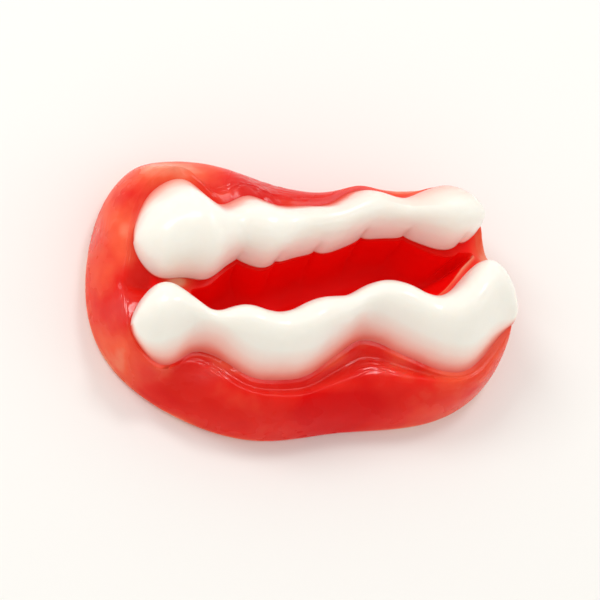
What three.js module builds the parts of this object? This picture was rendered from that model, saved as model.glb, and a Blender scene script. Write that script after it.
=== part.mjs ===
// A gummy sweet in the form of an open mouth, lying on its back.
// Lips and gums are one body of red jelly, and two rows of white foam teeth sit on it.
// Millimetres. +X runs along the mouth, +Y to the upper lip, and +Z up from the flat back.
import * as THREE from "three";

// The widest line of the lips, seen from above: a closed smooth curve that these points
// pull outwards, from the right corner of the mouth round by the upper lip.
const LIP_LINE = [
  [17.6, 0.6],
  [16.8, 7.9],
  [11.2, 10.2],
  [0.5, 8.6],
  [-7.6, 12.5],
  [-17.0, 13.1],
  [-21.2, 1.9],
  [-19.9, -8.1],
  [-7.0, -15.1],
  [1.4, -12.7],
  [11.5, -13.3],
  [19.4, -7.4],
];

// Heights above the surface that the sweet lies on.
const WIDEST = 0.6;
const FOAM_LEVEL = 6.3;
const SLOT_FLOOR = 2.2;

// The back is a shallow dish inside a flat rim. Its loops are shares of the outline.
const BACK_MIDDLE = [-1, -0.5];
const DISH_DEPTH = 0.6;
const DISH_SHARES = [0.3, 0.55, 0.75];
const RIM_WIDTH = 1.6;
const RIM_INSET = 0.4;
const EDGE = { inset: 0.1, height: 0.12 };

// The lip is a fat bead: a wall that rolls over into a crest and falls to the groove round
// the gums. Crest and groove fade out where the lip is narrow. Heights are from the foam
// level, and shares run from the outline to the teeth.
const CREST = { share: 0.62, rise: 0.75 };
const GROOVE = { share: 0.86, depth: 0.5 };
const FULL_WIDTH = 3.8;
const FADE_POWER = 5;
const WALL_STEPS = 8;
const FALL_STEPS = 4;
const GUM_STEPS = 2;
const SHELF_GROWTH = 0.32;
const SHELF_SHARES = [0.2, 0.4, 0.6, 0.8];

// The recess between the rows of teeth: a ramp at both ends and steep, hollow sides.
const SLOT = { left: -12.2, right: 15.4, inset: 0.08 };
const SLOT_BED = { left: -10.4, right: 12.4, inset: 0.45 };
const SLOT_ROUND = 0.45;
const SLOT_SHARES = [0, 0.2, 0.4, 0.65, 1];
const SLOT_HOLLOW = 2;

// A pit at the left corner of the mouth, between the ends of the rows.
const CORNER_PIT = { x: -16.6, y: -0.8, depth: 1.6, spreadX: 1.5, spreadY: 0.9 };

// Each lobe of a row: its middle, half its width, its reach to the lip and to the slot, how
// far its slot side leans along the row, its height, and how softly its lip side slopes.
const UPPER_ROW = {
  left: -17.1,
  right: 16.0,
  lipSide: 1,
  lobes: [
    { x: -15.1, y: 3.1, half: 4.1, lip: 6.2, slot: 4.1, lean: -0.5, tall: 5.3, soft: 3.0 },
    { x: -10.9, y: 2.9, half: 2.3, lip: 3.0, slot: 2.3, lean: 0.4, tall: 5.0, soft: 3.0 },
    { x: -5.8, y: 3.6, half: 3.2, lip: 4.2, slot: 2.8, lean: 0.5, tall: 4.9, soft: 3.0 },
    { x: -0.4, y: 3.5, half: 3.3, lip: 2.8, slot: 1.3, lean: 0.6, tall: 4.9, soft: 3.0 },
    { x: 4.5, y: 4.6, half: 3.6, lip: 3.6, slot: 0.9, lean: -0.3, tall: 5.0, soft: 2.6 },
    { x: 13.0, y: 5.0, half: 4.6, lip: 3.7, slot: 2.8, lean: -0.1, tall: 5.9, soft: 1.2 },
  ],
};
const LOWER_ROW = {
  left: -18.1,
  right: 18.2,
  lipSide: -1,
  lobes: [
    { x: -15.9, y: -4.9, half: 3.7, lip: 4.4, slot: 4.3, lean: 0.0, tall: 5.2, soft: 3.0 },
    { x: -8.0, y: -6.3, half: 3.1, lip: 2.5, slot: 2.5, lean: -0.3, tall: 4.7, soft: 3.0 },
    { x: -1.9, y: -6.1, half: 4.1, lip: 3.6, slot: 2.9, lean: 1.0, tall: 4.9, soft: 3.0 },
    { x: 6.8, y: -5.0, half: 4.3, lip: 2.3, slot: 3.5, lean: -0.8, tall: 4.8, soft: 3.0 },
    { x: 14.6, y: -4.6, half: 4.1, lip: 4.4, slot: 6.4, lean: 1.6, tall: 5.7, soft: 3.0 },
  ],
};

// How the lobes run together: how far each one's middle and height spread along the row,
// how deep the dips between them are, and how bluntly a row ends. There its slopes turn round.
const SPREAD = 3.2;
const FAR_WEIGHT = 1e-9;
const DIP = 0.35;
const END_POWER = 8;
const END_RISE = 0.66;

// A row's section: the crest lies nearer the slot, with a steep wall to the slot.
const CREST_FROM_SLOT = 0.38;
const SLOT_SIDE = { across: 0.85, up: 0.9 };

// How squarely the loop round the teeth turns at the corners of the mouth, and how much
// closer together its points are there. The lip reaches out from the teeth along rays, which
// run from the middle of the back through a plain oval of this height.
const CORNER_POWER = 8;
const CORNER_CROWD = 0.25;
const RAY_OVAL = 9.5;
const RAY_SEARCH = 0.15;
const RAY_HALVINGS = 30;

// Facets.
const AROUND = 100;
const STATIONS = 44;
const ARC_STEPS = 16;

const bell = (x, at, width) => Math.exp(-(((x - at) / width) ** 2));

const mix = (a, b, share) => a + (b - a) * share;

const stepsTo = (count) => Array.from({ length: count }, (_, k) => (k + 1) / count);

// A point of a closed cubic B-spline, at a share of the way round.
function onSmoothLoop(points, share) {
  const place = share * points.length;
  const first = Math.floor(place);
  const f = place - first;
  const pulls = [
    (1 - f) ** 3,
    3 * f ** 3 - 6 * f ** 2 + 4,
    -3 * f ** 3 + 3 * f ** 2 + 3 * f + 1,
    f ** 3,
  ];
  const at = (k) => points[(first + k - 1 + points.length) % points.length];
  return [0, 1].map((axis) => pulls.reduce((sum, pull, k) => sum + (pull / 6) * at(k)[axis], 0));
}

// A size of the lobes near one place along a row, as a weighted mean.
function near(row, x, size) {
  const weights = row.lobes.map((lobe) => bell(x, lobe.x, SPREAD) + FAR_WEIGHT);
  const total = weights.reduce((sum, weight) => sum + weight, 0);
  return row.lobes.reduce((sum, lobe, k) => sum + lobe[size] * weights[k], 0) / total;
}

// One along a row, and rounding off to nothing at its ends.
function endRound(row, x, growth) {
  const share = (2 * x - row.left - row.right) / (row.right - row.left + 2 * growth);
  return Math.sqrt(Math.max(0, 1 - Math.abs(share) ** END_POWER));
}

// How far a row reaches from its middle line on one side.
function reach(row, x, side, growth = 0) {
  const lean = side === "lip" ? -1 : 1;
  const bulges = row.lobes.map((lobe) => lobe[side] * bell(x, lobe.x + lean * lobe.lean, lobe.half));
  return endRound(row, x, growth) * bulges.reduce((sum, bulge) => sum + bulge, growth);
}

function height(row, x) {
  const full = row.lobes.reduce((sum, lobe) => sum + bell(x, lobe.x, lobe.half), 0);
  return endRound(row, x, 0) ** END_RISE * near(row, x, "tall") * (1 + DIP * (full - 1));
}

const lipFoot = (row, x) => near(row, x, "y") + row.lipSide * reach(row, x, "lip");

const slotFoot = (row, x) => near(row, x, "y") - row.lipSide * reach(row, x, "slot");

// A closed body from loops of equal length, with a point at each end.
function loopedBody(first, loops, last) {
  const around = loops[0].length;
  const points = [first, ...loops.flat(), last];
  const at = (loop, k) => 1 + loop * around + (k % around);
  const faces = [];
  for (let k = 0; k < around; k += 1) {
    faces.push(0, at(0, k + 1), at(0, k));
    faces.push(points.length - 1, at(loops.length - 1, k), at(loops.length - 1, k + 1));
    for (let loop = 0; loop + 1 < loops.length; loop += 1) {
      faces.push(at(loop, k), at(loop, k + 1), at(loop + 1, k + 1));
      faces.push(at(loop, k), at(loop + 1, k + 1), at(loop + 1, k));
    }
  }
  const geometry = new THREE.BufferGeometry();
  geometry.setAttribute("position", new THREE.Float32BufferAttribute(points.flat(), 3));
  geometry.setIndex(faces);
  geometry.computeVertexNormals();
  return geometry;
}

// A row of teeth: sections across the row, each from its +Y foot over the crest to the other.
function teethGeometry(row) {
  const sections = [];
  for (let k = 1; k < STATIONS; k += 1) {
    const x = mix(row.left, row.right, (1 - Math.cos((Math.PI * k) / STATIONS)) / 2);
    sections.push(section(row, x));
  }
  const tip = (x) => [x, near(row, x, "y"), FOAM_LEVEL];
  return loopedBody(tip(row.left), sections, tip(row.right));
}

function section(row, x) {
  const lip = lipFoot(row, x);
  const slot = slotFoot(row, x);
  const crest = mix(slot, lip, CREST_FROM_SLOT);
  const soft = mix(1, near(row, x, "soft"), endRound(row, x, 0));
  const lipSide = { foot: lip, across: 1, up: soft };
  const tall = height(row, x);
  const points = [];
  for (let k = 0; k <= ARC_STEPS; k += 1) {
    const angle = (Math.PI * k) / ARC_STEPS;
    const onLip = Math.cos(angle) > 0 === row.lipSide > 0;
    const side = onLip ? lipSide : { foot: slot, ...SLOT_SIDE };
    const y = mix(crest, side.foot, Math.abs(Math.cos(angle)) ** side.across);
    points.push([x, y, FOAM_LEVEL + tall * Math.abs(Math.sin(angle)) ** side.up]);
  }
  return points;
}

// Where a loop round both rows is at an angle: its place along them at a distance from their
// ends, how far it has opened from the corner of the mouth, and the row that it follows.
function alongRows(angle, growth) {
  const turn = Math.sin(angle);
  const open = 1 - (1 - Math.abs(turn)) ** CORNER_POWER;
  const upperShare = (1 + Math.sign(turn) * open) / 2;
  const left = mix(LOWER_ROW.left, UPPER_ROW.left, upperShare) - growth;
  const right = mix(LOWER_ROW.right, UPPER_ROW.right, upperShare) + growth;
  const x = mix(left, right, (1 + Math.cos(angle)) / 2);
  return { x, turn, open, row: turn > 0 ? UPPER_ROW : LOWER_ROW };
}

function roundTeeth(angle, growth) {
  const { x, open, row } = alongRows(angle, growth);
  const corner = (near(UPPER_ROW, x, "y") + near(LOWER_ROW, x, "y")) / 2;
  const out = row.lipSide * reach(row, x, "lip", growth) * Math.sqrt(open);
  return [x, mix(corner, near(row, x, "y"), open) + out];
}

// The point of the outline out from the loop round the teeth, found by halving.
function outlinePoint(angle) {
  const { x, turn, open, row } = alongRows(angle, 0);
  const out = (RAY_OVAL * (open * row.lipSide + turn)) / 2;
  const ray = Math.atan2(out, x - BACK_MIDDLE[0]);
  let low = ray / (2 * Math.PI) - RAY_SEARCH;
  let high = ray / (2 * Math.PI) + RAY_SEARCH;
  let point = null;
  for (let k = 0; k < RAY_HALVINGS; k += 1) {
    const share = (low + high) / 2;
    point = onSmoothLoop(LIP_LINE, share - Math.floor(share));
    const here = Math.atan2(point[1] - BACK_MIDDLE[1], point[0] - BACK_MIDDLE[0]);
    if (Math.sin(here - ray) > 0) high = share;
    else low = share;
  }
  return point;
}

// A loop in the recess, from its rim close to the teeth in to its bed.
function slotLoop(angle, { left, right, inset }) {
  const x = mix(left, right, (1 + Math.cos(angle)) / 2);
  const top = slotFoot(UPPER_ROW, x) - inset;
  const bottom = slotFoot(LOWER_ROW, x) + inset;
  const edge = Math.sin(angle) > 0 ? top : bottom;
  return [x, mix((top + bottom) / 2, edge, Math.abs(Math.sin(angle)) ** SLOT_ROUND)];
}

// A level loop part of the way from one loop to another.
function between(from, to, share, height) {
  return from.map(([x, y], k) => [mix(x, to[k][0], share), mix(y, to[k][1], share), height]);
}

// A level loop at a distance inside the outline.
function insideOutline(rim, distance, height) {
  const [middleX, middleY] = BACK_MIDDLE;
  return rim.map(([x, y]) => {
    const share = 1 - distance / Math.hypot(x - middleX, y - middleY);
    return [mix(middleX, x, share), mix(middleY, y, share), height];
  });
}

function backLoops(rim) {
  const middle = rim.map(() => BACK_MIDDLE);
  const dish = DISH_SHARES.map((share) =>
    between(middle, rim, share, DISH_DEPTH * (1 - share ** 3)),
  );
  return [
    ...dish,
    insideOutline(rim, RIM_INSET + RIM_WIDTH, 0),
    insideOutline(rim, RIM_INSET, 0),
    insideOutline(rim, EDGE.inset, EDGE.height),
  ];
}

// A loop on the lip, at a share of the way to the teeth. Its height follows from those of
// the crest and the groove, which are full where the lip is wide.
function lipLoop(rim, shelf, share, heightBetween) {
  return rim.map(([x, y], k) => {
    const [innerX, innerY] = shelf[k];
    const width = Math.hypot(innerX - x, innerY - y);
    const full = 1 - Math.exp(-((width / FULL_WIDTH) ** FADE_POWER));
    const crest = FOAM_LEVEL + CREST.rise * full;
    const groove = FOAM_LEVEL - GROOVE.depth * full;
    return [mix(x, innerX, share), mix(y, innerY, share), heightBetween(crest, groove)];
  });
}

// Up the wall, over the crest of the lip, down into the groove and up the gum to the shelf.
function lipLoops(rim, shelf) {
  const wall = [0, ...stepsTo(WALL_STEPS)].map((step) => {
    const angle = (Math.PI / 2) * step;
    const share = CREST.share * (1 - Math.cos(angle));
    return lipLoop(rim, shelf, share, (crest) => mix(WIDEST, crest, Math.sin(angle)));
  });
  const fall = stepsTo(FALL_STEPS).map((step) => {
    const drop = (1 - Math.cos(Math.PI * step)) / 2;
    const share = mix(CREST.share, GROOVE.share, step);
    return lipLoop(rim, shelf, share, (crest, groove) => mix(crest, groove, drop));
  });
  const gum = stepsTo(GUM_STEPS).map((step) => {
    const share = mix(GROOVE.share, 1, step);
    return lipLoop(rim, shelf, share, (crest, groove) => mix(groove, FOAM_LEVEL, step));
  });
  return [...wall, ...fall, ...gum];
}

// Across the shelf under the teeth to the recess, with the pit at the corner of the mouth.
function shelfLoops(shelf, slot) {
  const pit = CORNER_PIT;
  return SHELF_SHARES.map((share) =>
    between(shelf, slot, share, FOAM_LEVEL).map(([x, y, z]) => {
      const depth = pit.depth * bell(x, pit.x, pit.spreadX) * bell(y, pit.y, pit.spreadY);
      return [x, y, z - depth];
    }),
  );
}

function recessLoops(slot, bed) {
  const walls = SLOT_SHARES.map((share) => {
    const fall = 1 - (1 - share) ** SLOT_HOLLOW;
    return between(slot, bed, share, mix(FOAM_LEVEL, SLOT_FLOOR, fall));
  });
  const middle = bed.map(() => [0, 0]);
  return [...walls, between(bed, middle, 0.5, SLOT_FLOOR)];
}

function jellyGeometry() {
  const even = Array.from({ length: AROUND }, (_, k) => (2 * Math.PI * k) / AROUND);
  const angles = even.map((angle) => angle - CORNER_CROWD * Math.sin(2 * angle));
  const rim = angles.map(outlinePoint);
  const shelf = angles.map((angle) => roundTeeth(angle, SHELF_GROWTH));
  const slot = angles.map((angle) => slotLoop(angle, SLOT));
  const bed = angles.map((angle) => slotLoop(angle, SLOT_BED));
  const loops = [
    ...backLoops(rim),
    ...lipLoops(rim, shelf),
    ...shelfLoops(shelf, slot),
    ...recessLoops(slot, bed),
  ];
  return loopedBody([...BACK_MIDDLE, DISH_DEPTH], loops, [0, 0, SLOT_FLOOR]);
}

function piece(name, geometry, material) {
  const mesh = new THREE.Mesh(geometry, new THREE.MeshStandardMaterial(material));
  mesh.name = name;
  return mesh;
}

const redJelly = { color: 0xd8180f, roughness: 0.28, metalness: 0 };
const whiteFoam = { color: 0xf8f3e6, roughness: 0.5, metalness: 0 };

const sweet = new THREE.Group();
sweet.add(
  piece("jelly", jellyGeometry(), redJelly),
  piece("upper_teeth", teethGeometry(UPPER_ROW), whiteFoam),
  piece("lower_teeth", teethGeometry(LOWER_ROW), whiteFoam),
);

// The origin is under the middle of the outline.
const bounds = new THREE.Box3().setFromObject(sweet);
const middle = bounds.getCenter(new THREE.Vector3());
sweet.position.set(-middle.x, -middle.y, 0);

export default sweet;
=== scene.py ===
import math
from collections import namedtuple

import bpy
import numpy as np
from mathutils import Matrix, Vector


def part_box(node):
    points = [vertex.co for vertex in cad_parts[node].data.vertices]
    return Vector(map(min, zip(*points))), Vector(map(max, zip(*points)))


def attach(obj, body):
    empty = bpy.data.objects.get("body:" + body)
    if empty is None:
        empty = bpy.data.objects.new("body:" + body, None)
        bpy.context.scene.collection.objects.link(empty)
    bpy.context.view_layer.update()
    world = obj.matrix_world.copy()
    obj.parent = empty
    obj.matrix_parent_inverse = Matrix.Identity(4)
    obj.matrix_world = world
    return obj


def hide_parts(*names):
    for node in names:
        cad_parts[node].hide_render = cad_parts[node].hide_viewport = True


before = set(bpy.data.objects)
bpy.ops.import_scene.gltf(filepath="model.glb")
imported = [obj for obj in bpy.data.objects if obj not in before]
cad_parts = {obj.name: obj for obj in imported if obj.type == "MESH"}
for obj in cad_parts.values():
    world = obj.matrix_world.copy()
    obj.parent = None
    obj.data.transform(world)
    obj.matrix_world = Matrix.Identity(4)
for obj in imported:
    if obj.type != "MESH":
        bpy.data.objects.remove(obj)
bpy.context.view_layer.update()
MM = 0.001

# The camera looks down on the sweet from below the lower lip and a little from the left,
# through a long lens, as the photograph does. It aims at the middle of the mouth, from
# which all sizes along and across the sweet are measured.
MOUTH_MIDDLE = Vector((1.061, 0.687, 0))
TILT = math.radians(20)
TURN = math.radians(18)
ROLL = math.radians(-6.5)
LENS = 250
SENSOR = 36
# The picture is VIEW_WIDTH wide at AIM_RISE from the middle of the mouth towards the camera.
VIEW_WIDTH = 54.5
AIM_RISE = 5.4

back = Vector((-math.sin(TURN) * math.cos(TILT), -math.sin(TILT), math.cos(TURN) * math.cos(TILT)))
level_right = Vector((0, 1, 0)).cross(back).normalized()
level_up = back.cross(level_right)
right = level_right * math.cos(ROLL) + level_up * math.sin(ROLL)
up = level_up * math.cos(ROLL) - level_right * math.sin(ROLL)
lens = bpy.data.cameras.new("long_lens")
lens.lens = LENS
lens.sensor_width = SENSOR
lens.clip_start = 0.01
lens.clip_end = 20
camera = bpy.data.objects.new("camera", lens)
bpy.context.scene.collection.objects.link(camera)
camera.location = (MOUTH_MIDDLE + back * (AIM_RISE + VIEW_WIDTH * LENS / SENSOR)) * MM
camera.rotation_euler = Matrix((right, up, back)).transposed().to_euler()
bpy.context.scene.camera = camera


# The table top is painted board, plain, pale and matt. It is so wide that no edge of it
# shows behind the sweet.
FLOOR_RADIUS = 3000
FLOOR_SIDES = 96
FLOOR_COLOUR = "#f6f5f2"


def linear(hex_colour):
    """An sRGB hex value as linear red, green, blue and a full alpha."""
    parts = [int(hex_colour[k : k + 2], 16) / 255 for k in (1, 3, 5)]
    return [c / 12.92 if c <= 0.04045 else ((c + 0.055) / 1.055) ** 2.4 for c in parts] + [1]


def add_node(tree, kind, inputs=(), **settings):
    """Adds a node with its settings. Inputs go by number or name: a value, or what links to it."""
    node = tree.nodes.new(kind)
    for name, setting in settings.items():
        setattr(node, name, setting)
    sockets = inputs if isinstance(inputs, dict) else dict(enumerate(inputs))
    for socket, value in sockets.items():
        if isinstance(value, bpy.types.Node):
            value = value.outputs[0]
        if isinstance(value, bpy.types.NodeSocket):
            tree.links.new(value, node.inputs[socket])
        else:
            node.inputs[socket].default_value = value
    return node


def new_material(name):
    """A material with an empty tree."""
    material = bpy.data.materials.new(name)
    material.use_nodes = True
    material.node_tree.nodes.clear()
    return material


# Painted board, matt: it gives the eye nothing but a soft shadow and a little light from below.
board = new_material("painted_board_matt")
board_shader = add_node(
    board.node_tree,
    "ShaderNodeBsdfPrincipled",
    {"Base Color": linear(FLOOR_COLOUR), "Roughness": 0.7, "Specular IOR Level": 0.2},
)
add_node(board.node_tree, "ShaderNodeOutputMaterial", {"Surface": board_shader})
turns = [2 * math.pi * k / FLOOR_SIDES for k in range(FLOOR_SIDES)]
floor_mesh = bpy.data.meshes.new("floor")
floor_ring = [(FLOOR_RADIUS * MM * math.cos(a), FLOOR_RADIUS * MM * math.sin(a), 0) for a in turns]
floor_mesh.from_pydata(floor_ring, [], [range(FLOOR_SIDES)])
floor_mesh.materials.append(board)
floor = bpy.data.objects.new("floor", floor_mesh)
bpy.context.scene.collection.objects.link(floor)

# The light is a room with white walls and a dim ceiling, and three soft boxes: a strong one
# behind the upper lip on the left, a small one overhead, which gives the bright spots on the
# tops of the teeth and in the creases of the jelly, and a wide, weak one low on the right.
WALL_COLOUR = "#fffdf9"
WALL_STRENGTH = 0.95
CEILING_STRENGTH = 0.55
WALLS_END = 0.45
CEILING_STARTS = 0.85
SOFTBOXES = {
    "key": {"toward": (-0.55, 0.48, 0.845), "distance": 450, "size": 170, "watts": 0.55},
    "glint": {"toward": (0.28, 0.38, 0.88), "distance": 450, "size": 90, "watts": 0.36},
    "fill": {"toward": (0.85, -0.35, 0.5), "distance": 600, "size": 300, "watts": 0.2},
}

room = bpy.data.worlds.new("white_room")
room.use_nodes = True
tree = room.node_tree
tree.nodes.clear()
direction = add_node(tree, "ShaderNodeTexCoord")
rise = add_node(tree, "ShaderNodeSeparateXYZ", [direction.outputs["Generated"]])
strength = add_node(
    tree,
    "ShaderNodeMapRange",
    {
        "Value": rise.outputs["Z"],
        "From Min": WALLS_END,
        "From Max": CEILING_STARTS,
        "To Min": WALL_STRENGTH,
        "To Max": CEILING_STRENGTH,
    },
    interpolation_type="SMOOTHSTEP",
)
room_light = add_node(
    tree, "ShaderNodeBackground", {"Color": linear(WALL_COLOUR), "Strength": strength}
)
add_node(tree, "ShaderNodeOutputWorld", {"Surface": room_light})
bpy.context.scene.world = room
bpy.context.scene.view_settings.view_transform = "Standard"

for name, box in SOFTBOXES.items():
    toward = Vector(box["toward"]).normalized()
    light = bpy.data.lights.new(name, "AREA")
    light.size = box["size"] * MM
    light.energy = box["watts"]
    softbox = bpy.data.objects.new(name, light)
    softbox.location = toward * box["distance"] * MM
    softbox.rotation_euler = toward.to_track_quat("Z", "Y").to_euler()
    bpy.context.scene.collection.objects.link(softbox)


# The two rows of teeth are foam sugar: gelatine and sugar beaten white. They are poured into
# the mould first, so they narrow to a thin edge where the red jelly closes over them. The
# lobes of a row run together, and the upper row's edge at the recess has small notches.

# A tooth has its place, half its width, how far it bulges to the lip and to the recess, how
# far the two bulges lean apart along the row, its height, and how softly it rises at the lip.
# A row has its ends, the side of its lip, how far its pink fades out from the lip and up from
# the recess, its teeth and its notches.
Tooth = namedtuple("Tooth", "x y half lip slot lean tall soft")
Row = namedtuple("Row", "left right lip_side fade slot_fade teeth notches")
UPPER_ROW = Row(
    left=-17.1,
    right=16.0,
    lip_side=1,
    fade=3.3,
    slot_fade=0.3,
    teeth=(
        Tooth(x=-15.1, y=3.1, half=4.1, lip=6.2, slot=4.1, lean=-0.5, tall=5.3, soft=3.0),
        Tooth(x=-10.9, y=2.9, half=2.3, lip=3.0, slot=2.3, lean=0.4, tall=5.0, soft=3.0),
        Tooth(x=-5.8, y=3.6, half=3.2, lip=4.2, slot=2.8, lean=0.5, tall=4.9, soft=3.0),
        Tooth(x=-0.4, y=3.5, half=3.3, lip=2.8, slot=1.3, lean=0.6, tall=4.9, soft=3.0),
        Tooth(x=4.5, y=4.6, half=3.6, lip=3.6, slot=0.9, lean=-0.3, tall=5.0, soft=2.6),
        Tooth(x=13.0, y=5.0, half=4.6, lip=3.7, slot=2.8, lean=-0.1, tall=5.9, soft=1.2),
    ),
    notches=(-7.6, -4.0, -0.2, 4.4, 8.5, 13.8),
)
LOWER_ROW = Row(
    left=-18.1,
    right=18.2,
    lip_side=-1,
    fade=1.8,
    slot_fade=0.45,
    teeth=(
        Tooth(x=-15.9, y=-4.9, half=3.7, lip=4.4, slot=4.3, lean=0.0, tall=5.2, soft=3.0),
        Tooth(x=-8.0, y=-6.3, half=3.1, lip=2.5, slot=2.5, lean=-0.3, tall=4.7, soft=3.0),
        Tooth(x=-1.9, y=-6.1, half=4.1, lip=3.6, slot=2.9, lean=1.0, tall=4.9, soft=3.0),
        Tooth(x=6.8, y=-5.0, half=4.3, lip=2.3, slot=3.5, lean=-0.8, tall=4.8, soft=3.0),
        Tooth(x=14.6, y=-4.6, half=4.1, lip=4.4, slot=6.4, lean=1.6, tall=5.7, soft=3.0),
    ),
    notches=(),
)
# Sizes change over SPREAD along a row, and it dips by DIP of its height between the teeth. Its
# ends round off, and within END_REACH of them its pink is narrower. The crest is nearer to the
# recess than to the lip.
SPREAD = 3.2
FAR_WEIGHT = 1e-9
DIP = 0.35
END_POWER = 8
END_RISE = 0.66
END_REACH = 3.2
END_FADE = 0.35
CREST_FROM_SLOT = 0.38
SLOT_RISE = 0.9
NOTCH_DEPTH = 0.42
NOTCH_REACH = 0.5
STATIONS = 320
ARC_STEPS = 88
FOAM_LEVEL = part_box("upper_teeth")[0].z / MM


def bell(x, at, width):
    """A bell round a place, one high there."""
    return np.exp(-(((x - at) / width) ** 2))


def mix(a, b, share):
    """The value a share of the way from a to b."""
    return a + (b - a) * share


def eased(share):
    """A share that leaves nothing and comes to one gently."""
    return share**2 * (3 - 2 * share)


def half_wave(share):
    """A share that leaves nothing and comes to one as half a wave does."""
    return (1 - np.cos(np.pi * share)) / 2


def steps(count):
    """Equal shares from just past nothing to one."""
    return np.arange(1, count + 1) / count


def near(row, x, size):
    """A size of the teeth near one place along a row, as a weighted mean."""
    weights = [bell(x, tooth.x, SPREAD) + FAR_WEIGHT for tooth in row.teeth]
    sizes = [getattr(tooth, size) * weight for tooth, weight in zip(row.teeth, weights)]
    return sum(sizes) / sum(weights)


def end_round(row, x, growth=0):
    """One along a row, and rounding off to nothing at its ends."""
    share = (2 * x - row.left - row.right) / (row.right - row.left + 2 * growth)
    return np.sqrt(np.maximum(0, 1 - np.abs(share) ** END_POWER))


def reach(row, x, side, growth=0):
    """How far a row reaches from its middle line on one side."""
    lean = -1 if side == "lip" else 1
    bulges = [getattr(t, side) * bell(x, t.x + lean * t.lean, t.half) for t in row.teeth]
    return end_round(row, x, growth) * (sum(bulges) + growth)


def foot(row, x, side):
    """The edge of a row on one side, where it comes out of the jelly."""
    out = row.lip_side if side == "lip" else -row.lip_side
    return near(row, x, "y") + out * reach(row, x, side)


def notched_foot(row, x):
    """A row's edge at the recess, with its small notches."""
    notches = [NOTCH_DEPTH * np.exp(-np.abs(x - at) / NOTCH_REACH) for at in row.notches]
    return foot(row, x, "slot") + row.lip_side * sum(notches)


def crest_height(row, x):
    """How high a row stands, with a dip between the teeth."""
    full = sum(bell(x, tooth.x, tooth.half) for tooth in row.teeth)
    return end_round(row, x) ** END_RISE * near(row, x, "tall") * (1 + DIP * (full - 1))


def closed_skin(name, first, loops, last, values):
    """A closed mesh from equal loops, with named values for its points. The first loop closes
    on a point, and so does the last, or across itself if it is as flat as a slit."""
    count, around = loops.shape[:2]
    ends = [point for point in (first, last) if point is not None]
    points = np.vstack([loops.reshape(-1, 3), ends])
    place = np.arange(count * around).reshape(count, around)
    beside = np.roll(place, -1, axis=1)
    quads = np.stack([place[:-1], beside[:-1], beside[1:], place[1:]], axis=-1).reshape(-1, 4)
    start = [(place.size, b, a) for a, b in zip(place[0], beside[0])]
    if last is None:
        rungs = [(place[-1, k], place[-1, -k]) for k in range(around // 2 + 1)]
        end = [(a, b, d, c) for (a, c), (b, d) in zip(rungs[1:-2], rungs[2:-1])]
        end += [(rungs[0][0], rungs[1][0], rungs[1][1]), (rungs[-2][0], rungs[-1][0], rungs[-2][1])]
    else:
        end = [(place.size + 1, a, b) for a, b in zip(place[-1], beside[-1])]
    mesh = bpy.data.meshes.new(name)
    mesh.from_pydata((points + np.array(MOUTH_MIDDLE)) * MM, [], quads.tolist() + start + end)
    for label, value in values.items():
        inner = np.broadcast_to(value, (count, around)).reshape(-1)
        whole = np.concatenate([inner, inner[:1], inner[-1:]])[: len(points)]
        layer = mesh.attributes.new(label, "FLOAT", "POINT")
        layer.data.foreach_set("value", whole.astype(np.float32))
    mesh.polygons.foreach_set("use_smooth", [True] * len(mesh.polygons))
    return mesh


def foot_strip(name, row):
    """A row's flat foot, one section after the other, which the tree raises into teeth. A
    section is an arc of points from the lip over to the recess, and two below them."""
    x = mix(row.left, row.right, half_wave(steps(STATIONS)[:-1]))[:, None]
    turn = np.pi * np.arange(ARC_STEPS + 1) / ARC_STEPS
    turn = np.concatenate([turn, [np.pi, 0]])
    under = np.zeros_like(turn)
    under[-2:] = 1
    to_lip = np.cos(turn) * row.lip_side
    wide = np.ones((len(x), len(turn)))
    loops = np.stack([x * wide, near(row, x, "y") * wide, FOAM_LEVEL * wide], axis=-1)
    tips = [(end, float(near(row, end, "y")), FOAM_LEVEL) for end in (row.left, row.right)]
    on_lip = to_lip > 0
    crest_off = (reach(row, x, "lip") + reach(row, x, "slot")) * (1 - CREST_FROM_SLOT)
    from_end = np.minimum(x - row.left, row.right - x)
    inner = np.clip(from_end / END_REACH, 0, 1)
    lip_fade = mix(END_FADE, row.fade, eased(inner))
    from_lip = crest_off * (1 - np.abs(to_lip)) / lip_fade
    from_slot = crest_height(row, x) * np.maximum(np.sin(turn), 0) ** SLOT_RISE / row.slot_fade
    whiteness = np.where(on_lip, from_lip, from_slot).clip(0, 1)
    values = {
        "turn": turn,
        "under": under,
        "on_lip": on_lip,
        "lip_foot": (foot(row, x, "lip") + MOUTH_MIDDLE.y) * MM,
        "slot_foot": (foot(row, x, "slot") + MOUTH_MIDDLE.y) * MM,
        "notch": (notched_foot(row, x) - foot(row, x, "slot")) * (to_lip <= 0) * MM,
        "tall": crest_height(row, x) * MM,
        "soft": mix(1, near(row, x, "soft"), end_round(row, x)),
        "whiteness": whiteness,
    }
    return closed_skin(name, tips[0], loops, tips[1], values)


def new_tree(name, sizes, kinds=("Geometry", "Material")):
    """A geometry tree with a named input for each kind and size, and its input node's outputs."""
    tree = bpy.data.node_groups.new(name, "GeometryNodeTree")
    for kind in kinds:
        tree.interface.new_socket(kind, in_out="INPUT", socket_type="NodeSocket" + kind)
    for size in sizes:
        tree.interface.new_socket(size, in_out="INPUT", socket_type="NodeSocketFloat")
    tree.interface.new_socket("Geometry", in_out="OUTPUT", socket_type="NodeSocketGeometry")
    return tree, add_node(tree, "NodeGroupInput").outputs


def finish_tree(tree, geometry, material):
    """The end of a tree: all of it real mesh, in its material."""
    real = add_node(tree, "GeometryNodeRealizeInstances", {"Geometry": geometry})
    dressed = add_node(tree, "GeometryNodeSetMaterial", {"Geometry": real, "Material": material})
    add_node(tree, "NodeGroupOutput", {"Geometry": dressed})


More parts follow.
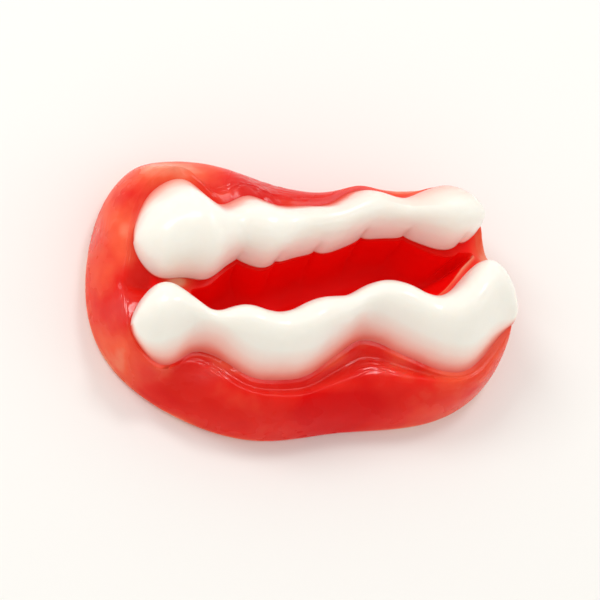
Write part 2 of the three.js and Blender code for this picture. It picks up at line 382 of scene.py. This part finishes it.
def grown(name, mesh, tree, sizes, material):
    """An object whose mesh is what a tree makes of the mesh given."""
    piece = bpy.data.objects.new(name, mesh)
    bpy.context.scene.collection.objects.link(piece)
    modifier = piece.modifiers.new(tree.name, "NODES")
    modifier.node_group = tree
    values = {**sizes, "Material": material}
    for socket in tree.interface.items_tree:
        if socket.in_out == "INPUT" and socket.name in values:
            modifier[socket.identifier] = values[socket.name]
    whole = piece.evaluated_get(bpy.context.evaluated_depsgraph_get())
    piece.data = bpy.data.meshes.new_from_object(whole)
    piece.modifiers.clear()
    return piece


# Soft swellings, in and out along the normals, by a noise of that depth and size.
swell_tree, given = new_tree("swell", ("Depth", "Size", "Seed", "Share"), kinds=("Geometry",))
waves_to_metre = add_node(swell_tree, "ShaderNodeMath", [1.0, given["Size"]], operation="DIVIDE")
noise = add_node(
    swell_tree,
    "ShaderNodeTexNoise",
    {"W": given["Seed"], "Scale": waves_to_metre, "Detail": 2.0, "Roughness": 0.45},
    noise_dimensions="4D",
)
swing = add_node(swell_tree, "ShaderNodeMath", [noise, 0.5], operation="SUBTRACT")
full_swing = add_node(swell_tree, "ShaderNodeMath", [swing, given["Depth"]], operation="MULTIPLY")
out = add_node(swell_tree, "ShaderNodeMath", [full_swing, given["Share"]], operation="MULTIPLY")
normal = add_node(swell_tree, "GeometryNodeInputNormal")
offset = add_node(swell_tree, "ShaderNodeVectorMath", {0: normal, "Scale": out}, operation="SCALE")
moved = add_node(
    swell_tree, "GeometryNodeSetPosition", {"Geometry": given["Geometry"], "Offset": offset}
)
add_node(swell_tree, "NodeGroupOutput", {"Geometry": moved})

FOAM_SIZES = {
    "Foam level": FOAM_LEVEL * MM,
    "Crest from slot": CREST_FROM_SLOT,
    "Slot across": 0.85,
    "Slot rise": SLOT_RISE,
    "Notch fading": 11.0,
    "Root depth": 0.95 * MM,
    "Root share": 0.94,
    "Swell depth": 0.3 * MM,
    "Swell size": 3.6 * MM,
    "Skin depth": 0.03 * MM,
    "Skin size": 0.9 * MM,
    "Seed": 3.0,
}

foam_tree, given = new_tree("foam_teeth", FOAM_SIZES)
point = {}
for label in ("turn", "under", "on_lip", "lip_foot", "slot_foot", "notch", "tall", "soft"):
    point[label] = add_node(
        foam_tree, "GeometryNodeInputNamedAttribute", {"Name": label}, data_type="FLOAT"
    )
foot_line = add_node(
    foam_tree,
    "ShaderNodeMix",
    {"Factor": point["on_lip"], "A": point["slot_foot"], "B": point["lip_foot"]},
)
crest_line = add_node(
    foam_tree,
    "ShaderNodeMix",
    {"Factor": given["Crest from slot"], "A": point["slot_foot"], "B": point["lip_foot"]},
)
across_power = add_node(
    foam_tree, "ShaderNodeMix", {"Factor": point["on_lip"], "A": given["Slot across"], "B": 1.0}
)
rise_power = add_node(
    foam_tree,
    "ShaderNodeMix",
    {"Factor": point["on_lip"], "A": given["Slot rise"], "B": point["soft"]},
)
root_share = add_node(
    foam_tree, "ShaderNodeMix", {"Factor": point["under"], "A": 1.0, "B": given["Root share"]}
)
cosine = add_node(foam_tree, "ShaderNodeMath", [point["turn"]], operation="COSINE")
outward = add_node(foam_tree, "ShaderNodeMath", [cosine], operation="ABSOLUTE")
across = add_node(foam_tree, "ShaderNodeMath", [outward, across_power], operation="POWER")
from_crest = add_node(foam_tree, "ShaderNodeMath", [across, root_share], operation="MULTIPLY")
smooth_y = add_node(
    foam_tree, "ShaderNodeMix", {"Factor": from_crest, "A": crest_line, "B": foot_line}
)
notch_share = add_node(
    foam_tree, "ShaderNodeMath", [from_crest, given["Notch fading"]], operation="POWER"
)
section_y = add_node(
    foam_tree,
    "ShaderNodeMath",
    [point["notch"], notch_share, smooth_y],
    operation="MULTIPLY_ADD",
)
sine = add_node(foam_tree, "ShaderNodeMath", [point["turn"]], operation="SINE")
over_foot = add_node(foam_tree, "ShaderNodeMath", [sine, 0.0], operation="MAXIMUM")
rise = add_node(foam_tree, "ShaderNodeMath", [over_foot, rise_power], operation="POWER")
above = add_node(
    foam_tree,
    "ShaderNodeMath",
    [point["tall"], rise, given["Foam level"]],
    operation="MULTIPLY_ADD",
)
root = add_node(
    foam_tree, "ShaderNodeMath", [point["under"], given["Root depth"]], operation="MULTIPLY"
)
section_z = add_node(foam_tree, "ShaderNodeMath", [above, root], operation="SUBTRACT")
here = add_node(foam_tree, "GeometryNodeInputPosition")
apart = add_node(foam_tree, "ShaderNodeSeparateXYZ", [here])
raised_place = add_node(
    foam_tree, "ShaderNodeCombineXYZ", {"X": apart.outputs["X"], "Y": section_y, "Z": section_z}
)
raised = add_node(
    foam_tree,
    "GeometryNodeSetPosition",
    {"Geometry": given["Geometry"], "Position": raised_place},
)
free_share = add_node(foam_tree, "ShaderNodeMath", [over_foot], operation="SQRT")
shape = raised
for layer in ("Swell", "Skin"):
    shape = add_node(
        foam_tree,
        "GeometryNodeGroup",
        {
            "Geometry": shape,
            "Depth": given[layer + " depth"],
            "Size": given[layer + " size"],
            "Seed": given["Seed"],
            "Share": free_share,
        },
        node_tree=swell_tree,
    )
finish_tree(foam_tree, shape, given["Material"])

# Foam sugar, beaten and set: cream white and soft, as light goes a little way in, with a
# thin oily shine. Where it narrows over the jelly the red shows through as pink. Its bubbles
# are too fine to show, so their grain is drawn as coarse as FOAM_GRAIN.
FADE_STOPS = {0.0: "#e2402f", 0.16: "#ee8170", 0.36: "#f6bbac", 0.62: "#f9ddd2", 1.0: "#faf2e9"}
FADE_BREAK = 0.12
FADE_PATCH = 2.2
FOAM_GRAIN = 0.35

foam = new_material("beaten_foam_sugar")
tree = foam.node_tree
place = add_node(tree, "ShaderNodeTexCoord").outputs["Object"]
whiteness = add_node(tree, "ShaderNodeAttribute", attribute_name="whiteness").outputs["Fac"]
patches = add_node(
    tree, "ShaderNodeTexNoise", {"Vector": place, "Scale": 1 / (FADE_PATCH * MM), "Detail": 3.0}
)
uneven = add_node(
    tree, "ShaderNodeMath", [patches, FADE_BREAK, -FADE_BREAK / 2], operation="MULTIPLY_ADD"
)
fade_share = add_node(tree, "ShaderNodeMath", [whiteness, uneven], operation="ADD")
ramp = add_node(tree, "ShaderNodeValToRGB", [fade_share])
while len(ramp.color_ramp.elements) < len(FADE_STOPS):
    ramp.color_ramp.elements.new(1.0)
for stop, (share, colour) in zip(ramp.color_ramp.elements, FADE_STOPS.items()):
    stop.position = share
    stop.color = linear(colour)
grain = add_node(
    tree, "ShaderNodeTexNoise", {"Vector": place, "Scale": 1 / (FOAM_GRAIN * MM), "Detail": 2.0}
)
grain_bump = add_node(
    tree, "ShaderNodeBump", {"Height": grain, "Strength": 0.1, "Distance": 0.05 * MM}
)
roughness = add_node(
    tree, "ShaderNodeMapRange", {"Value": patches, "To Min": 0.3, "To Max": 0.42}
)
thickness = add_node(tree, "ShaderNodeMapRange", {"Value": whiteness, "To Min": 0.15})
foam_shader = add_node(
    tree,
    "ShaderNodeBsdfPrincipled",
    {
        "Base Color": ramp,
        "Roughness": roughness,
        "IOR": 1.45,
        "Subsurface Weight": thickness,
        "Subsurface Radius": (1.0, 0.92, 0.86),
        "Subsurface Scale": 0.8 * MM,
        "Coat Weight": 0.5,
        "Coat Roughness": 0.08,
        "Normal": grain_bump,
    },
)
add_node(tree, "ShaderNodeOutputMaterial", {"Surface": foam_shader})

for node, row, seed in (("upper_teeth", UPPER_ROW, 3.0), ("lower_teeth", LOWER_ROW, 8.0)):
    name = "foam_" + node
    teeth = grown(name, foot_strip(name, row), foam_tree, {**FOAM_SIZES, "Seed": seed}, foam)
    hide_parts(node)
    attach(teeth, "root")


# Lips, gums and the recess of the mouth are one pour of red fruit jelly on top of the foam.
# In the mould its free surface became the back, which sank to a shallow dish as it set. The
# points pull the widest line of the lips outwards, from the right corner round by the upper lip.
LIP_LINE = np.array(
    [
        (17.6, 0.6),
        (16.8, 7.9),
        (11.2, 10.2),
        (0.5, 8.6),
        (-7.9, 12.9),
        (-16.8, 13.7),
        (-21.2, 1.9),
        (-19.9, -8.1),
        (-7.0, -15.1),
        (1.4, -12.7),
        (11.5, -13.3),
        (19.4, -7.4),
    ]
)
WIDEST_LEVEL = 0.6
BACK_MIDDLE = np.array([-1, -0.5])
DISH_DEPTH = 0.6
RIM_WIDTH = 1.6
RIM_INSET = 0.4
# Rises and depths are from the foot of the foam. Shares are of the way in from the widest line
# to the teeth, and the gum's is from the crest. "at" and "wide" are angles round the mouth. The
# crest and the gum rise more at the swollen upper lip, and a lip narrower than FULL_WIDTH loses
# its crest and its groove.
CREST = {"share": 0.86, "rise": -0.16, "more": 0.85, "at": 2.3, "wide": 0.65, "bend": 1.25}
GROOVE = {"crest_share": 0.56, "crest_rise": 0.22, "depth": 0.34, "at": 4.95, "wide": 0.85}
GUM = {"rise": 0.06, "more": 0.8, "share": 0.6}
FULL_WIDTH = 3.8
FADE_POWER = 5
SHELF_GROWTH = 0.32
# The recess has a rim close to the teeth, a slit for its deepest line and a ramp at the right.
SLOT = {"left": -12.2, "right": 15.4, "inset": 0.05}
SLOT_SPINE = {"left": -10.2, "right": 11.5}
SPINE_CLEAR = 0.04
SLOT_ROUND = 0.5
SLOT_OPENS = 8
SLOT_ACROSS = 0.8
SLOT_FALL = 0.7
SLOT_FLOOR = 2.2
RAMP = {"from": 8.5, "to": 15.0, "rise": 1.2, "fall": 1.1}
LEFT_PIT = {"x": -16.6, "y": -0.8, "depth": 0.9, "spread_x": 1.8, "spread_y": 1.0}
RIGHT_PIT = {"x": 17.3, "y": 2.8, "depth": 1.9, "spread_x": 2.4, "spread_y": 1.5}
PIT_POWER = 3
# Rays from the middle of the back, spread as on an oval, find the widest line.
CORNER_POWER = 8
RAY_OVAL = 9.5
RAY_SEARCH = 0.15
RAY_HALVINGS = 30
# The jelly is painted paler as painted glow, which stands in for light coming through it where
# it is thin: at narrow lips, at the foot of the foam and at the right corner. It is thin beside
# the foam.
NARROW_PAINTED_GLOW = {"share": 0.6, "reach": 2.0}
FOOT_PAINTED_GLOW = {"lip": 0.15, "slot": 0.8}
FOOT_REACH = 0.4
THIN_REACH = 1.0
PAINTED_GLOW_CORNER = {"from": 15.0, "to": 17.0}
Spot = namedtuple("Spot", "x y spread_x spread_y share")
# Painted light: these spots are painted paler. They stand in for glow through thin jelly at the
# corners and the lips, for a sheen at the upper left, and for light in the shade beside the left
# teeth.
PAINTED_LIGHT_SPOTS = (
    Spot(x=17.4, y=2.6, spread_x=1.7, spread_y=2.6, share=1.0),
    Spot(x=-13.4, y=-0.6, spread_x=1.2, spread_y=0.8, share=1.3),
    Spot(x=-20.3, y=2.5, spread_x=4.0, spread_y=8.0, share=0.35),
    Spot(x=-13.0, y=10.3, spread_x=4.0, spread_y=2.0, share=1.0),
    Spot(x=13.4, y=-9.6, spread_x=5.0, spread_y=3.0, share=0.4),
    Spot(x=10.2, y=8.6, spread_x=3.0, spread_y=1.2, share=0.7),
    Spot(x=-17.9, y=4.2, spread_x=1.3, spread_y=3.4, share=0.85),
)
# Painted shade: these spots are painted a darker red where shade falls: on the lower lip, in the
# left corner, on the upper lip and in the groove under the lower teeth.
PAINTED_SHADE_SPOTS = (
    Spot(x=0.8, y=-12.5, spread_x=3.6, spread_y=1.25, share=2.2),
    Spot(x=-16.9, y=-0.4, spread_x=1.8, spread_y=1.4, share=0.6),
    Spot(x=-1.6, y=9.2, spread_x=5.5, spread_y=2.0, share=0.8),
    Spot(x=-5.0, y=-9.9, spread_x=7.0, spread_y=1.0, share=0.6),
)
CREASED_SPOTS = (
    Spot(x=-19.4, y=5.8, spread_x=0.7, spread_y=2.0, share=0.6),
    Spot(x=-18.6, y=-2.9, spread_x=0.9, spread_y=1.5, share=1.0),
    Spot(x=-11.0, y=-9.2, spread_x=1.6, spread_y=0.8, share=1.1),
    Spot(x=4.6, y=-9.0, spread_x=2.4, spread_y=0.7, share=0.9),
    Spot(x=-5.0, y=8.6, spread_x=3.4, spread_y=1.2, share=0.9),
    Spot(x=-12.0, y=10.6, spread_x=2.2, spread_y=0.9, share=0.5),
)
# The height over the table and the widths of a lip over which the jelly comes free to swell.
FREE = {"height": 1.5, "from_width": 1.0, "to_width": 3.0}
AROUND = 480
FINE_STEPS = 6000
DISH_STEPS = 9
RIM_STEPS = 4
EDGE_STEPS = 6
WALL_STEPS = 46
FALL_STEPS = 32
GUM_STEPS = 24
SHELF_STEPS = 14
SHELF_RED_STEP = 4
RECESS_STEPS = 42


def on_smooth_loop(points, share):
    """Points of a closed cubic B-spline, at shares of the way round."""
    place = share * len(points)
    first = np.floor(place).astype(int)
    f = (place - first)[:, None]
    pulls = [(1 - f) ** 3, 3 * f**3 - 6 * f**2 + 4, -3 * f**3 + 3 * f**2 + 3 * f + 1, f**3]
    return sum(pull / 6 * points[(first + k - 1) % len(points)] for k, pull in enumerate(pulls))


def between(left, right, angle):
    """Where a loop with these two ends is at an angle, along the mouth."""
    return mix(left, right, (1 + np.cos(angle)) / 2)


def along_rows(angle, growth):
    """Where a loop round both rows is along them, and how far it has opened from the corners."""
    opened = 1 - (1 - np.abs(np.sin(angle))) ** CORNER_POWER
    upper_share = (1 + np.sign(np.sin(angle)) * opened) / 2
    left = mix(LOWER_ROW.left, UPPER_ROW.left, upper_share) - growth
    right = mix(LOWER_ROW.right, UPPER_ROW.right, upper_share) + growth
    return between(left, right, angle), opened


def round_teeth(angle, growth):
    """A loop round both rows at a distance from them."""
    x, opened = along_rows(angle, growth)
    corner = (near(UPPER_ROW, x, "y") + near(LOWER_ROW, x, "y")) / 2
    edges = []
    for row in (UPPER_ROW, LOWER_ROW):
        out = row.lip_side * reach(row, x, "lip", growth) * np.sqrt(opened)
        edges.append(mix(corner, near(row, x, "y"), opened) + out)
    return np.stack([x, np.where(np.sin(angle) > 0, edges[0], edges[1])], axis=-1)


def outline(angle):
    """The widest line's points out from the loop round the teeth, found by halving."""
    x, opened = along_rows(angle, 0)
    out = RAY_OVAL * (opened * np.sign(np.sin(angle)) + np.sin(angle)) / 2
    ray = np.arctan2(out, x - BACK_MIDDLE[0])
    low, high = ray / (2 * np.pi) - RAY_SEARCH, ray / (2 * np.pi) + RAY_SEARCH
    for _ in range(RAY_HALVINGS):
        share = (low + high) / 2
        found = on_smooth_loop(LIP_LINE, share % 1)
        bearing = np.arctan2(found[:, 1] - BACK_MIDDLE[1], found[:, 0] - BACK_MIDDLE[0])
        past = np.sin(bearing - ray) > 0
        low, high = np.where(past, low, share), np.where(past, share, high)
    return found


def slot_rim(angle, left, right, inset):
    """The rim of the recess, close to the teeth and rounder at its right end."""
    x = between(left, right, angle)
    top = notched_foot(UPPER_ROW, x) - inset
    bottom = notched_foot(LOWER_ROW, x) + inset
    edge = np.where(np.sin(angle) > 0, top, bottom)
    power = np.interp(x, [SLOT_OPENS, right], [SLOT_ROUND, 1])
    return np.stack([x, mix((top + bottom) / 2, edge, np.abs(np.sin(angle)) ** power)], axis=-1)


def slot_spine(angle, left, right):
    """The deepest line of the recess, midway between the rows, as a slit."""
    x = between(left, right, angle)
    middle = (foot(UPPER_ROW, x, "slot") + foot(LOWER_ROW, x, "slot")) / 2
    return np.stack([x, middle + SPINE_CLEAR * np.sin(angle)], axis=-1)


def loop_at(inner, outer, share, height):
    """A loop part of the way between two others, at a height that may change round it."""
    flat = mix(inner, outer, share)
    return np.concatenate([flat, np.broadcast_to(height, len(flat))[:, None]], axis=1)


def inside(rim, distance):
    """A loop at a distance inside the outline."""
    from_middle = np.linalg.norm(rim - BACK_MIDDLE, axis=1)[:, None]
    return mix(BACK_MIDDLE, rim, 1 - distance / from_middle)


def up_ramp(x):
    """How far up the ramp at the right end of the recess a place is."""
    return np.interp(x, [RAMP["from"], RAMP["to"]], [0, 1])


# The angles are spread so that the points lie evenly along the edges of the teeth.
fine = np.linspace(0, 2 * np.pi, FINE_STEPS + 1)
paces = np.linalg.norm(np.diff(round_teeth(fine, SHELF_GROWTH), axis=0), axis=1)
paces += np.linalg.norm(np.diff(slot_rim(fine, **SLOT), axis=0), axis=1)
paced = np.concatenate([[0], np.cumsum(paces + paces[::-1])])
angles = np.interp(paced[-1] * np.arange(AROUND) / AROUND, paced, fine)
rim = outline(angles)
shelf = round_teeth(angles, SHELF_GROWTH)
slot = slot_rim(angles, **SLOT)
spine = slot_spine(angles, **SLOT_SPINE)
dish_edge = inside(rim, RIM_INSET + RIM_WIDTH)
rim_edge = inside(rim, RIM_INSET)
lip_width = np.linalg.norm(rim - shelf, axis=1)
full = 1 - np.exp(-((lip_width / FULL_WIDTH) ** FADE_POWER))
swollen = bell(angles, CREST["at"], CREST["wide"])
sunk = bell(angles, GROOVE["at"], GROOVE["wide"])
crest_rise = mix(CREST["rise"] + CREST["more"] * swollen, GROOVE["crest_rise"], sunk)
crest = FOAM_LEVEL + crest_rise * full
gum = FOAM_LEVEL + (GUM["rise"] + GUM["more"] * swollen) * full
groove = mix((crest + gum) / 2, FOAM_LEVEL - GROOVE["depth"] * full, sunk)
crest_share = mix(CREST["share"], GROOVE["crest_share"], sunk)[:, None]
groove_share = mix(crest_share, 1, GUM["share"])
crest_bend = mix(CREST["bend"], np.pi / 2, sunk)

loops = [loop_at(BACK_MIDDLE, dish_edge, s, DISH_DEPTH * (1 - s**3)) for s in steps(DISH_STEPS)]
loops += [loop_at(dish_edge, rim_edge, s, 0.0) for s in steps(RIM_STEPS)]
for bend in np.pi / 2 * steps(EDGE_STEPS):
    loops.append(loop_at(rim_edge, rim, np.sin(bend), WIDEST_LEVEL * (1 - np.cos(bend))))
edge_loop = len(loops) - 1
for share in steps(WALL_STEPS):
    inward = (1 - np.cos(crest_bend * share)) / (1 - np.cos(crest_bend))
    climb = np.sin(crest_bend * share) / np.sin(crest_bend)
    height = mix(WIDEST_LEVEL, crest, climb)
    loops.append(loop_at(rim, shelf, crest_share * inward[:, None], height))
for share in steps(FALL_STEPS):
    inward = mix(crest_share, groove_share, share)
    loops.append(loop_at(rim, shelf, inward, mix(crest, groove, half_wave(share))))
groove_loop = len(loops) - 1
for share in steps(GUM_STEPS):
    inward = mix(groove_share, 1, share)
    loops.append(loop_at(rim, shelf, inward, mix(groove, gum, half_wave(share))))
shelf_loop = len(loops) - 1
for share in np.sin(np.pi / 2 * steps(SHELF_STEPS)):
    loops.append(loop_at(shelf, slot, share, mix(gum, FOAM_LEVEL, share)))
slot_loop = len(loops) - 1
fall_power = SLOT_FALL + RAMP["fall"] * up_ramp(slot[:, 0])
for bend in np.pi / 2 * steps(RECESS_STEPS):
    inward = 1 - np.abs(np.cos(bend)) ** SLOT_ACROSS
    floor_here = SLOT_FLOOR + RAMP["rise"] * eased(up_ramp(mix(slot, spine, inward)[:, 0]))
    fallen = np.sin(bend) ** fall_power
    loops.append(loop_at(slot, spine, inward, mix(FOAM_LEVEL, floor_here, fallen)))
loops = np.stack(loops)

# A pit at each corner of the mouth, which sinks the top and hardly the wall below it.
for pit in (LEFT_PIT, RIGHT_PIT):
    pit_depth = pit["depth"] * bell(loops[..., 0], pit["x"], pit["spread_x"])
    pit_depth *= bell(loops[..., 1], pit["y"], pit["spread_y"])
    loops[..., 2] -= pit_depth * np.clip(loops[..., 2] / FOAM_LEVEL, 0, 1) ** PIT_POWER

# The points carry where the jelly is painted paler as painted light, where it is painted darker
# red as painted shade, or where it is creased, how near the foam it is, which of it is in the
# recess, and how free it is to swell, less at the table and at narrow lips.
strides = np.linalg.norm(np.diff(loops, axis=0), axis=2)
walked = np.concatenate([np.zeros((1, AROUND)), np.cumsum(strides, axis=0)])
painted_light, deep, creased = np.zeros((3, *loops.shape[:2]))
narrow = bell(lip_width, 0, NARROW_PAINTED_GLOW["reach"])
painted_light[edge_loop : shelf_loop + 1] = NARROW_PAINTED_GLOW["share"] * narrow
to_foam = np.abs(walked - walked[shelf_loop])
to_rim = np.abs(walked - walked[slot_loop])
painted_light = np.maximum(painted_light, FOOT_PAINTED_GLOW["lip"] * bell(to_foam, 0, FOOT_REACH))
painted_light = np.maximum(painted_light, FOOT_PAINTED_GLOW["slot"] * bell(to_rim, 0, FOOT_REACH) * (np.sin(angles) < 0))
for marked, spots in ((painted_light, PAINTED_LIGHT_SPOTS), (deep, PAINTED_SHADE_SPOTS), (creased, CREASED_SPOTS)):
    for spot in spots:
        across = spot.share * bell(loops[..., 0], spot.x, spot.spread_x)
        np.maximum(marked, across * bell(loops[..., 1], spot.y, spot.spread_y), out=marked)
near_foam = bell(np.minimum(to_foam, to_rim), 0, THIN_REACH)
near_foam[shelf_loop:slot_loop] = 1
in_recess = np.interp(loops[..., 0], [PAINTED_GLOW_CORNER["from"], PAINTED_GLOW_CORNER["to"]], [1, 0])
in_recess[: shelf_loop + SHELF_RED_STEP] = 0
free_skin = np.clip(loops[..., 2] / FREE["height"], 0, 1) ** 2
free_skin *= np.interp(lip_width, [FREE["from_width"], FREE["to_width"]], [0, 1])
skin = closed_skin(
    "fruit_jelly",
    [*BACK_MIDDLE, DISH_DEPTH],
    loops,
    None,
    {
        "from_groove": (walked - walked[groove_loop]) * MM,
        "painted_light": painted_light,
        "deep": deep,
        "creased": creased,
        "near_foam": near_foam,
        "in_recess": in_recess,
        "free": free_skin,
    },
)

JELLY_SIZES = {
    "Swell depth": 0.22 * MM,
    "Swell size": 5.0 * MM,
    "Dimple depth": 0.05 * MM,
    "Dimple size": 1.3 * MM,
    "Crease depth": 0.5 * MM,
    "Crease length": 0.7 * MM,
    "Crease pitch": 0.26 * MM,
    "Seed": 5.0,
}
jelly_tree, given = new_tree("poured_jelly", JELLY_SIZES)
point = {}
for label in ("free", "from_groove", "creased"):
    point[label] = add_node(
        jelly_tree, "GeometryNodeInputNamedAttribute", {"Name": label}, data_type="FLOAT"
    )
shape = given["Geometry"]
for layer in ("Swell", "Dimple"):
    shape = add_node(
        jelly_tree,
        "GeometryNodeGroup",
        {
            "Geometry": shape,
            "Depth": given[layer + " depth"],
            "Size": given[layer + " size"],
            "Seed": given["Seed"],
            "Share": point["free"],
        },
        node_tree=swell_tree,
    )

# Fine creases run along the lips where the jelly shrank, long in their direction.
here = add_node(jelly_tree, "GeometryNodeInputPosition")
per_length = add_node(
    jelly_tree, "ShaderNodeMath", [1.0, given["Crease length"]], operation="DIVIDE"
)
along = add_node(
    jelly_tree, "ShaderNodeVectorMath", {0: here, "Scale": per_length}, operation="SCALE"
)
apart = add_node(jelly_tree, "ShaderNodeSeparateXYZ", [along])
pitches = add_node(
    jelly_tree, "ShaderNodeMath", [point["from_groove"], given["Crease pitch"]], operation="DIVIDE"
)
crease_place = add_node(
    jelly_tree,
    "ShaderNodeCombineXYZ",
    {"X": apart.outputs["X"], "Y": apart.outputs["Y"], "Z": pitches},
)
crease = add_node(
    jelly_tree,
    "ShaderNodeTexNoise",
    {"Vector": crease_place, "W": given["Seed"], "Scale": 1.0, "Detail": 2.0},
    noise_dimensions="4D",
)
swing = add_node(jelly_tree, "ShaderNodeMath", [crease, 0.5], operation="SUBTRACT")
depth = add_node(
    jelly_tree, "ShaderNodeMath", [point["creased"], given["Crease depth"]], operation="MULTIPLY"
)
crease_height = add_node(jelly_tree, "ShaderNodeMath", [swing, depth], operation="MULTIPLY")
normal = add_node(jelly_tree, "GeometryNodeInputNormal")
offset = add_node(
    jelly_tree, "ShaderNodeVectorMath", {0: normal, "Scale": crease_height}, operation="SCALE"
)
creased_skin = add_node(
    jelly_tree, "GeometryNodeSetPosition", {"Geometry": shape, "Offset": offset}
)
finish_tree(jelly_tree, creased_skin, given["Material"])

# Fruit jelly, cast and lightly oiled: red light goes millimetres into it, so thin places and the
# edge at the table glow coral and thick ones go a deeper red. That glow is also painted into the
# colour as painted glow, and shade is painted in darker red, under a wet shine that is sharpest in
# the creases. The starch of the mould leaves a grain that is too fine to show, so it is drawn as
# coarse as JELLY_GRAIN. A tone is a place on the scale of reds from darkest to palest, and the
# random clouds, the painted glow, the painted light and the painted shade add to the plain one.
TONES = {0.0: "#d40302", 0.35: "#e0251a", 0.7: "#f05c3c", 1.0: "#f4a182"}
PLAIN_TONE = 0.34
CLOUD_TONE = 0.24
PAINTED_LIGHT_TONE = 0.6
PAINTED_SHADE_TONE = -0.45
# Painted glow: low on the wall, near the table, the jelly is painted paler. This stands in for
# light coming through the thin edge and for a highlight along it.
LOW_EDGE_PAINTED_GLOW = {"from": 0.4, "to": 1.0, "tone": 0.35}
# Painted bounce light: low in the recess the jelly is painted a brighter, purer red. This stands in
# for red light bouncing between its walls.
RECESS_BOUNCE_RED = "#fb0906"
RECESS_TOP = 7.0
RECESS_SOFT = 1.2
CLOUD_SIZE = 4.5
JELLY_GRAIN = 0.7
CREASE_SHINE = 0.9
TOP_SHINE = {"from": 3.0, "to": 6.5, "weight": 0.08}

jelly_material = new_material("cast_fruit_jelly")
tree = jelly_material.node_tree
place = add_node(tree, "ShaderNodeTexCoord").outputs["Object"]
jelly_height = add_node(tree, "ShaderNodeSeparateXYZ", [place]).outputs["Z"]
marks = {}
for label in ("painted_light", "deep", "creased", "near_foam", "in_recess"):
    marks[label] = add_node(tree, "ShaderNodeAttribute", attribute_name=label).outputs["Fac"]
clouds = add_node(
    tree, "ShaderNodeTexNoise", {"Vector": place, "Scale": 1 / (CLOUD_SIZE * MM), "Detail": 3.0}
)
cloud_tone = add_node(
    tree,
    "ShaderNodeMapRange",
    {
        "Value": clouds,
        "From Min": 0.25,
        "From Max": 0.75,
        "To Min": -CLOUD_TONE,
        "To Max": CLOUD_TONE,
    },
)
# Painted glow and highlight along the edge at the table.
painted_edge_glow = add_node(
    tree,
    "ShaderNodeMapRange",
    {
        "Value": jelly_height,
        "From Min": LOW_EDGE_PAINTED_GLOW["from"] * MM,
        "From Max": LOW_EDGE_PAINTED_GLOW["to"] * MM,
        "To Min": LOW_EDGE_PAINTED_GLOW["tone"],
        "To Max": 0.0,
    },
)
# The tone gathers the random clouds, the painted glow at the edge, the painted light and the
# painted shade.
tone = PLAIN_TONE
for part, share in (
    (cloud_tone, 1),
    (painted_edge_glow, 1),
    (marks["painted_light"], PAINTED_LIGHT_TONE),
    (marks["deep"], PAINTED_SHADE_TONE),
):
    tone = add_node(tree, "ShaderNodeMath", [part, share, tone], operation="MULTIPLY_ADD")
ramp = add_node(tree, "ShaderNodeValToRGB", [tone])
while len(ramp.color_ramp.elements) < len(TONES):
    ramp.color_ramp.elements.new(1.0)
for stop, (share, colour) in zip(ramp.color_ramp.elements, TONES.items()):
    stop.position = share
    stop.color = linear(colour)
low_down = add_node(
    tree,
    "ShaderNodeMapRange",
    {
        "Value": jelly_height,
        "From Min": (RECESS_TOP - RECESS_SOFT) * MM,
        "From Max": RECESS_TOP * MM,
        "To Min": 1.0,
        "To Max": 0.0,
    },
    interpolation_type="SMOOTHSTEP",
)
sunk_in = add_node(tree, "ShaderNodeMath", [low_down, marks["in_recess"]], operation="MULTIPLY")
# Painted bounce light: low in the recess the colour is mixed to a brighter, purer red, except where
# light is painted paler.
outside_painted_light = add_node(tree, "ShaderNodeMath", [1.0, marks["painted_light"]], operation="SUBTRACT")
painted_bounce_share = add_node(tree, "ShaderNodeMath", [sunk_in, outside_painted_light], operation="MULTIPLY")
# A mix node's two colours are its inputs 6 and 7, and the mixed one is its output 2.
colour = add_node(
    tree,
    "ShaderNodeMix",
    {"Factor": painted_bounce_share, 6: ramp.outputs["Color"], 7: linear(RECESS_BOUNCE_RED)},
    data_type="RGBA",
)
grain = add_node(
    tree, "ShaderNodeTexNoise", {"Vector": place, "Scale": 1 / (JELLY_GRAIN * MM), "Detail": 2.0}
)
grain_bump = add_node(
    tree, "ShaderNodeBump", {"Height": grain, "Strength": 0.15, "Distance": 0.05 * MM}
)
free_roughness = add_node(
    tree,
    "ShaderNodeMapRange",
    {"Value": clouds, "From Min": 0.3, "From Max": 0.7, "To Min": 0.2, "To Max": 0.36},
)
roughness = add_node(tree, "ShaderNodeMix", {"Factor": sunk_in, "A": free_roughness, "B": 0.55})
high = add_node(
    tree,
    "ShaderNodeMapRange",
    {
        "Value": jelly_height,
        "From Min": TOP_SHINE["from"] * MM,
        "From Max": TOP_SHINE["to"] * MM,
        "To Max": TOP_SHINE["weight"],
    },
)
open_share = add_node(tree, "ShaderNodeMath", [1.0, sunk_in], operation="SUBTRACT")
plain_shine = add_node(tree, "ShaderNodeMath", [high, open_share], operation="MULTIPLY")
shine = add_node(
    tree, "ShaderNodeMath", [marks["creased"], CREASE_SHINE, plain_shine], operation="MULTIPLY_ADD"
)
# Less light goes in beside the foam, where the jelly is thin.
thickness = add_node(
    tree, "ShaderNodeMapRange", {"Value": marks["near_foam"], "To Min": 1.0, "To Max": 0.2}
)
jelly_shader = add_node(
    tree,
    "ShaderNodeBsdfPrincipled",
    {
        "Base Color": colour.outputs[2],
        "Roughness": roughness,
        "IOR": 1.4,
        "Specular IOR Level": 0.1,
        "Subsurface Weight": thickness,
        "Subsurface Radius": (1.0, 0.12, 0.08),
        "Subsurface Scale": 2.2 * MM,
        "Coat Weight": shine,
        "Coat Roughness": 0.12,
        "Normal": grain_bump,
    },
)
add_node(tree, "ShaderNodeOutputMaterial", {"Surface": jelly_shader})

jelly = grown("fruit_jelly", skin, jelly_tree, JELLY_SIZES, jelly_material)
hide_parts("jelly")
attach(jelly, "root")
